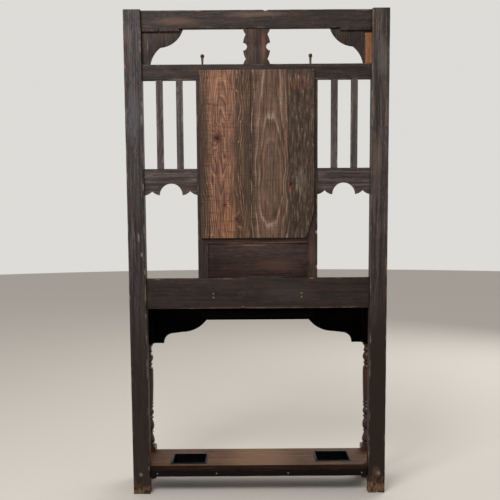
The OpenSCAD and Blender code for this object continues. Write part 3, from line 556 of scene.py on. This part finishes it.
def board(node, material, along, round_mm=1.6, wear=0.6, seed=1, step_mm=6.0, skew=None, back=None):
    """A board inside a node's box. Its section is a rectangle with a quarter circle at each corner,
    whose radius wanders along the board; at both ends the section shrinks by a quarter circle. A
    dent draws near points in towards the middle of the section by a bell curve. skew is how far the
    low X side moves inwards, as a function of height in mm, and back is the material behind."""
    rng = np.random.default_rng(seed)
    low, high = box_mm(node)
    u, v = [axis for axis in (X, Y, Z) if axis != along]
    if along == Y:
        u, v = v, u
    half, mid = (high - low) / 2, (high + low) / 2
    thin = min(half[u], half[v])

    # Stations along the board, and how much the section has shrunk at each.
    end = min(round_mm, 0.3 * thin)
    turns = np.linspace(0, np.pi / 2, END_POINTS)
    inner = np.linspace(low[along] + end, high[along] - end,
                        max(6, int((high[along] - low[along]) / step_mm)))
    stations = np.concatenate([low[along] + end * (1 - np.sin(turns[::-1]))[:-1], inner,
                               high[along] - end * (1 - np.sin(turns))[1:]])
    shrink = np.concatenate([end * (1 - np.cos(turns[::-1]))[:-1], np.zeros(len(inner)),
                             end * (1 - np.cos(turns))[1:]])[:, None]
    count = len(stations)

    # The four corners as (across u, across v, wear), and the straight sides between them.
    corners = []
    for k, (su, sv) in enumerate(((1, 1), (-1, 1), (-1, -1), (1, -1))):
        radius = round_mm * (1 + wear * 0.8 * smooth_noise(count, 9, rng))
        radius = radius + wear * 2.2 * round_mm * np.clip(smooth_noise(count, 5, rng) - CHIP_LEVEL, 0, 1)
        radius = np.minimum(radius, 0.45 * thin)[:, None]
        angle = np.linspace(0, np.pi / 2, CORNER_POINTS)[None, :] + k * np.pi / 2
        corners.append((su * (half[u] - shrink - radius) + radius * np.cos(angle),
                        sv * (half[v] - shrink - radius) + radius * np.sin(angle),
                        0.5 + 0.5 * wear * smooth_noise(count, 7, rng)[:, None] + 0 * angle))
    columns_u, columns_v, edge = [], [], []
    for k in range(4):
        here, after = corners[k], corners[(k + 1) % 4]
        length = 2 * half[u if k % 2 == 0 else v]
        steps = np.linspace(0, 1, max(2, int(length / SIDE_STEP_MM)) + 2)[1:-1]
        columns_u += [here[0], here[0][:, -1:] * (1 - steps) + after[0][:, :1] * steps]
        columns_v += [here[1], here[1][:, -1:] * (1 - steps) + after[1][:, :1] * steps]
        edge += [here[2], np.zeros((count, len(steps)))]
    worn = np.concatenate(edge, 1)
    points = np.zeros((*worn.shape, 3))
    points[:, :, along] = stations[:, None]
    points[:, :, u] = mid[u] + np.concatenate(columns_u, 1)
    points[:, :, v] = mid[v] + np.concatenate(columns_v, 1)
    if skew is not None:
        points[:, :, X] += skew(points[:, :, Z]) * (high[X] - points[:, :, X]) / (high[X] - low[X])
    for centre, radius, depth in DENTS.get(node, ()):
        gap = points - np.array(centre)
        pull = depth * np.exp(-(gap ** 2).sum(-1) / radius ** 2)
        inward = np.zeros_like(points)
        for axis in (u, v):
            inward[:, :, axis] = mid[axis] - points[:, :, axis]
        inward /= np.linalg.norm(inward, axis=-1, keepdims=True)
        points += inward * pull[:, :, None]
        worn = np.maximum(worn, np.clip(pull * 0.8, 0, 1))
    piece = build(node + "_board", points, tube_faces(*worn.shape), material, "stand", node, worn)
    if back:
        face_backs(piece.data, back)


def keep(node, material, ease_mm=0.8, back=None):
    """A shaped solid keeps its mesh: its loose triangles are welded and its arrises eased."""
    piece = nodes[node]
    piece.data.materials.clear()
    piece.data.materials.append(material)
    piece.data.polygons.foreach_set("use_smooth", np.full(len(piece.data.polygons), True))
    if back:
        face_backs(piece.data, back)
    weld = piece.modifiers.new("weld", "WELD")
    weld.merge_threshold = 0.01 * MM
    if ease_mm:
        ease = piece.modifiers.new("eased_arrises", "BEVEL")
        ease.width = ease_mm * MM
        ease.segments = 2
        ease.limit_method = "ANGLE"
        ease.angle_limit = math.radians(CRISP_DEGREES)
        ease.harden_normals = True
    crisp(piece, CRISP_DEGREES)


# ---- back frame ----

board("post_left", POST["left"], Z, round_mm=2.0, wear=0.8, seed=11, step_mm=5.0)
board("post_right", POST["right"], Z, round_mm=2.0, wear=0.8, seed=12, step_mm=5.0)
board("top_rail", RAIL, X, round_mm=1.8, wear=0.7, seed=13, step_mm=5.0)
board("upper_rail", RAIL, X, seed=14)
board("cross_rail", RAIL, X, round_mm=2.2, wear=0.7, seed=15, step_mm=5.0)
board("panel_rail", PANEL, X, round_mm=1.4, wear=0.5, seed=16)
for n, side in enumerate(("left", "right")):
    board("stile_" + side, STILE, Z, wear=0.8, seed=20 + n, step_mm=5.0)
    keep("side_rail_" + side, SIDE_RAIL, ease_mm=1.2)
    for m, place in enumerate(("inner", "outer")):
        board(f"slat_{side}_{place}", SLAT, Z, round_mm=1.4, seed=30 + 2 * n + m)
    keep("top_bracket_" + side, STILE)
keep("top_splat", SPLAT)
keep("top_battens", STILE, ease_mm=0.5)
board("repair_block", FRESH, Z, round_mm=0.9, wear=0.4, seed=40, step_mm=4.0)
keep("lower_panel", PANEL, ease_mm=0.6)


# ---- backboards and mirror ----

CUT_WIDE, CUT_HIGH = 30.0, 110.0    # of the wide board's sawn-off corner, in mm


def sawn_corner(height):
    """How far the wide board's low X side is cut back at a height in mm."""
    return CUT_WIDE * np.clip(1 - (height - box_mm("backboard_wide")[0][Z]) / CUT_HIGH, 0, 1)


board("backboard_narrow", PINE_NARROW, Z, round_mm=0.9, wear=0.5, seed=50, step_mm=5.0)
board("backboard_wide", PINE_WIDE, Z, round_mm=0.9, wear=0.5, seed=51, step_mm=5.0,
      skew=sawn_corner)
keep("backboard_nails", NAIL, ease_mm=0.0)
keep("mirror_plate", GLASS, ease_mm=0.0)
for place, way in (("bottom", X), ("right", Z), ("top", X), ("left", Z)):
    keep("mirror_bead_" + place, POLISHED[way], ease_mm=0.4)


# ---- table ----

# The glove box's back and bottom, and the backs of the front apron and low brackets, are painted shade in
# near black oak.
board("box_back", PAINTED_SHADE_OAK[X], X, round_mm=0.8, wear=0.3, seed=60)
board("box_bottom", PAINTED_SHADE_OAK[X], X, round_mm=0.8, wear=0.3, seed=61)
for n, side in enumerate(("left", "right")):
    board("box_side_" + side, BOX_SIDE, Y, round_mm=0.8, wear=0.3, seed=62 + n)
    board("side_apron_" + side, POLISHED[Y], Y, round_mm=1.2, wear=0.5, seed=64 + n)
    keep("low_bracket_" + side, POLISHED[X], ease_mm=1.2, back=PAINTED_SHADE_OAK[X])
    keep("table_front_strip_" + side, POLISHED[X])
    board("table_end_" + side, POLISHED[Y], Y, round_mm=1.4, seed=66 + n)
board("front_apron", POLISHED[X], X, wear=0.5, seed=70, back=PAINTED_SHADE_OAK[X])
board("table_back_strip", POLISHED[X], X, round_mm=1.4, wear=0.5, seed=71)
keep("lid", POLISHED[X])
for node in ("hinge_table_leaves", "hinge_lid_leaves", "hinge_pins"):
    keep(node, BRASS, ease_mm=0.0)


# ---- front legs ----

# Turned groups from the foot block up: (length, radius, rise, lean), in mm. A negative rise is a
# cove. None stands for the long column between the groups, which takes the height that is left.
TURNINGS = ((10, 16, 4, 1), (46, 12, 9, 0.5), (10, 13, 4, 1), (54, 12, 8, 0.8), (13, 13, 5, 1),
            (35, 12, 7, 1), (14, 14, 4, 1), (15, 14, 5, 1), None, (8, 15, 5, 1), (12, 17, -4, 1),
            (10, 13, 5, 1), (43, 12, 9, 1), (11, 13, 5, 1), (18, 17, -3, 1), (12, 16, 5, 1))
COLUMN_RADIUS, COLUMN_SWELL, COLUMN_WAVE = 17, 3, 1     # 17 mm at its foot and 20 at its top
FOOT_BLOCK_TOP, LEG_BLOCK_LOW = 146.0, 603.0
SHOULDER_MM, SHOULDER_LOW, SHOULDER_RISE = 7.0, 27.0, 11.5
PAST_SQUARE = 40.0      # any radius beyond the blocks' corners
LEG_SIDES = 96
LEG_EASE, LEG_END = 1.6, 1.5
FOOT_ROWS, TURNED_ROWS, SHOULDER_ROWS, BLOCK_ROWS = 30, 330, 9, 40
JUST_OFF = 0.01         # mm from a block's edge to the first row of its shoulder
WORN_FROM, WORN_FULL = 17, 29       # radius at which a leg begins to be worn, and is worn fully


def turned_radius(height):
    """Radius of the turning in mm at each height: in each group radius + rise sin(pi t^lean), with
    t from 0 to 1, and in the column a straight swell with one slow wave. In the square blocks it is
    large, and it falls over a short shoulder at each of them."""
    column = LEG_BLOCK_LOW - FOOT_BLOCK_TOP - sum(group[0] for group in TURNINGS if group)
    radius = np.full(height.shape, PAST_SQUARE)
    start = FOOT_BLOCK_TOP
    for group in TURNINGS:
        length = group[0] if group else column
        t = (height - start) / length
        inside = (t >= 0) & (t <= 1)
        t = np.clip(t, 0, 1)
        if group:
            shape = group[1] + group[2] * np.sin(np.pi * t ** group[3])
        else:
            shape = COLUMN_RADIUS + COLUMN_SWELL * t + COLUMN_WAVE * np.sin(np.pi * t)
        radius = np.where(inside, shape, radius)
        start += length
    for edge, way in ((FOOT_BLOCK_TOP, -1), (LEG_BLOCK_LOW, 1)):
        back = way * (height - edge)
        near = (back > 0) & (back < SHOULDER_MM)
        shoulder = SHOULDER_LOW + SHOULDER_RISE * np.sqrt(np.clip(back / SHOULDER_MM, 0, 1))
        radius = np.where(near, shoulder, radius)
    return radius


def paint_table_shade(mesh, leg_x):
    """Paints shade on the upper block's back and on its side towards the middle, which are inside the table.
    """
    normal = face_data(mesh, "normal")
    inside = (normal[:, Y] > LOOKS_ALONG) | (normal[:, X] * np.sign(leg_x) < -LOOKS_ALONG)
    second_material(mesh, PAINTED_SHADE_OAK[X], inside & (face_data(mesh, "center")[:, Z] > LEG_BLOCK_LOW * MM))


def front_leg(side, seed):
    """Square stock on a lathe: at each angle the radius is the smaller of the square's, with eased
    corners, and the turning's."""
    low, high = box_mm("front_leg_" + side)
    mid, half = (low + high) / 2, (high - low) / 2
    height = np.unique(np.concatenate([
        np.linspace(low[Z], FOOT_BLOCK_TOP, FOOT_ROWS),
        np.linspace(FOOT_BLOCK_TOP, LEG_BLOCK_LOW, TURNED_ROWS),
        np.linspace(FOOT_BLOCK_TOP - SHOULDER_MM, FOOT_BLOCK_TOP - JUST_OFF, SHOULDER_ROWS),
        np.linspace(LEG_BLOCK_LOW + JUST_OFF, LEG_BLOCK_LOW + SHOULDER_MM, SHOULDER_ROWS),
        np.linspace(LEG_BLOCK_LOW, high[Z], BLOCK_ROWS)]))
    angle = np.arange(LEG_SIDES) * 2 * np.pi / LEG_SIDES
    square = half[X] / np.maximum(np.abs(np.cos(angle)), np.abs(np.sin(angle)))
    square = np.minimum(square, half[X] * math.sqrt(2) - LEG_EASE)
    radius = np.minimum(square[None, :], turned_radius(height)[:, None])
    end = np.minimum(height - low[Z], high[Z] - height)
    radius = radius - np.clip(LEG_END - end, 0, LEG_END)[:, None]
    points = np.stack([mid[X] + radius * np.cos(angle), mid[Y] + radius * np.sin(angle),
                       height[:, None] + 0 * angle], -1)
    rubbed = 0.5 + 0.5 * smooth_noise(len(height), 8, np.random.default_rng(seed))
    worn = np.clip((radius - WORN_FROM) / (WORN_FULL - WORN_FROM), 0, 1) * rubbed[:, None]
    piece = build(f"front_leg_{side}_turned", points, tube_faces(len(height), LEG_SIDES), LEG,
                  "stand", "front_leg_" + side, worn)
    paint_table_shade(piece.data, mid[X])
    crisp(piece, 40)


for n, side in enumerate(("left", "right")):
    front_leg(side, 80 + n)


# ---- shelf, trays, hooks and fixings ----

keep("shelf_board", SHELF, ease_mm=2.6, back=SHELF_EDGE)
board("shelf_back_rail", SHELF_RAIL[X], X, seed=90, step_mm=5.0)
board("shelf_front_rail", SHELF_RAIL[X], X, round_mm=1.4, wear=0.5, seed=91)
keep("shelf_side_rails", SHELF_RAIL[Y], ease_mm=1.0)
for side in ("left", "right"):
    keep("drip_tray_" + side, IRON, ease_mm=0.4)
    for place in ("inner", "outer"):
        keep(f"hook_{place}_{side}", BRASS, ease_mm=0.0)
keep("hook_screws", BRASS, ease_mm=0.0)
keep("back_fixings", PLUG, ease_mm=0.0)


# ---- floor, light and camera ----

bpy.ops.mesh.primitive_circle_add(vertices=96, radius=14, fill_type="NGON", location=(0, 0, 0))
floor = bpy.context.object
floor.name = "studio_floor"
floor.data.materials.append(matte("pale_studio_floor", "#c6c0b8", 0.9))

world = bpy.data.worlds.new("studio")
bpy.context.scene.world = world
world.use_nodes = True
sky = world.node_tree.nodes["Background"]
direction = add(world.node_tree, "TexCoord").outputs["Generated"]
toward = add(world.node_tree, "SeparateXYZ", {0: direction}).outputs[Y]
world.node_tree.links.new(ramp(world.node_tree, toward, -0.5, 0.7, 0.9, 0.5), sky.inputs["Strength"])
sky.inputs["Color"].default_value = linear("#e8e6e2")


def softbox(name, place, aim, size, watts):
    """A square area light that looks at a point."""
    lamp = bpy.data.lights.new(name, "AREA")
    lamp.shape, lamp.size, lamp.energy = "SQUARE", size, watts
    holder = bpy.data.objects.new(name, lamp)
    bpy.context.scene.collection.objects.link(holder)
    holder.location = place
    holder.rotation_mode = "QUATERNION"
    holder.rotation_quaternion = (Vector(aim) - Vector(place)).to_track_quat("-Z", "Y")


softbox("key_light", place=(1.0, 2.3, 3.1), aim=(0, 0, 1.6), size=1.4, watts=95)
softbox("fill_light", place=(-2.6, -2.8, 2.8), aim=(0, 0, 1.2), size=2.4, watts=90)

CAMERA_PLACE = (0.03, 2.9559, 1.1288)
PITCH, YAW, ROLL = math.radians(5.496), math.radians(0.053), math.radians(-0.386)
camera = bpy.data.cameras.new("camera")
camera.sensor_width, camera.lens, camera.shift_y = 36.0, 50.4, 0.08
camera_holder = bpy.data.objects.new("camera", camera)
bpy.context.scene.collection.objects.link(camera_holder)
ahead = np.array([math.sin(YAW) * math.cos(PITCH), -math.cos(YAW) * math.cos(PITCH), -math.sin(PITCH)])
level = np.array([-math.cos(YAW), -math.sin(YAW), 0.0])
upward = np.cross(level, ahead)
right = level * math.cos(ROLL) + upward * math.sin(ROLL)
top = upward * math.cos(ROLL) - level * math.sin(ROLL)
matrix = np.eye(4)
matrix[:3, 0], matrix[:3, 1], matrix[:3, 2], matrix[:3, 3] = right, top, -ahead, CAMERA_PLACE
camera_holder.matrix_world = Matrix(matrix.tolist())
bpy.context.scene.camera = camera_holder
bpy.context.scene.view_settings.view_transform = "Standard"
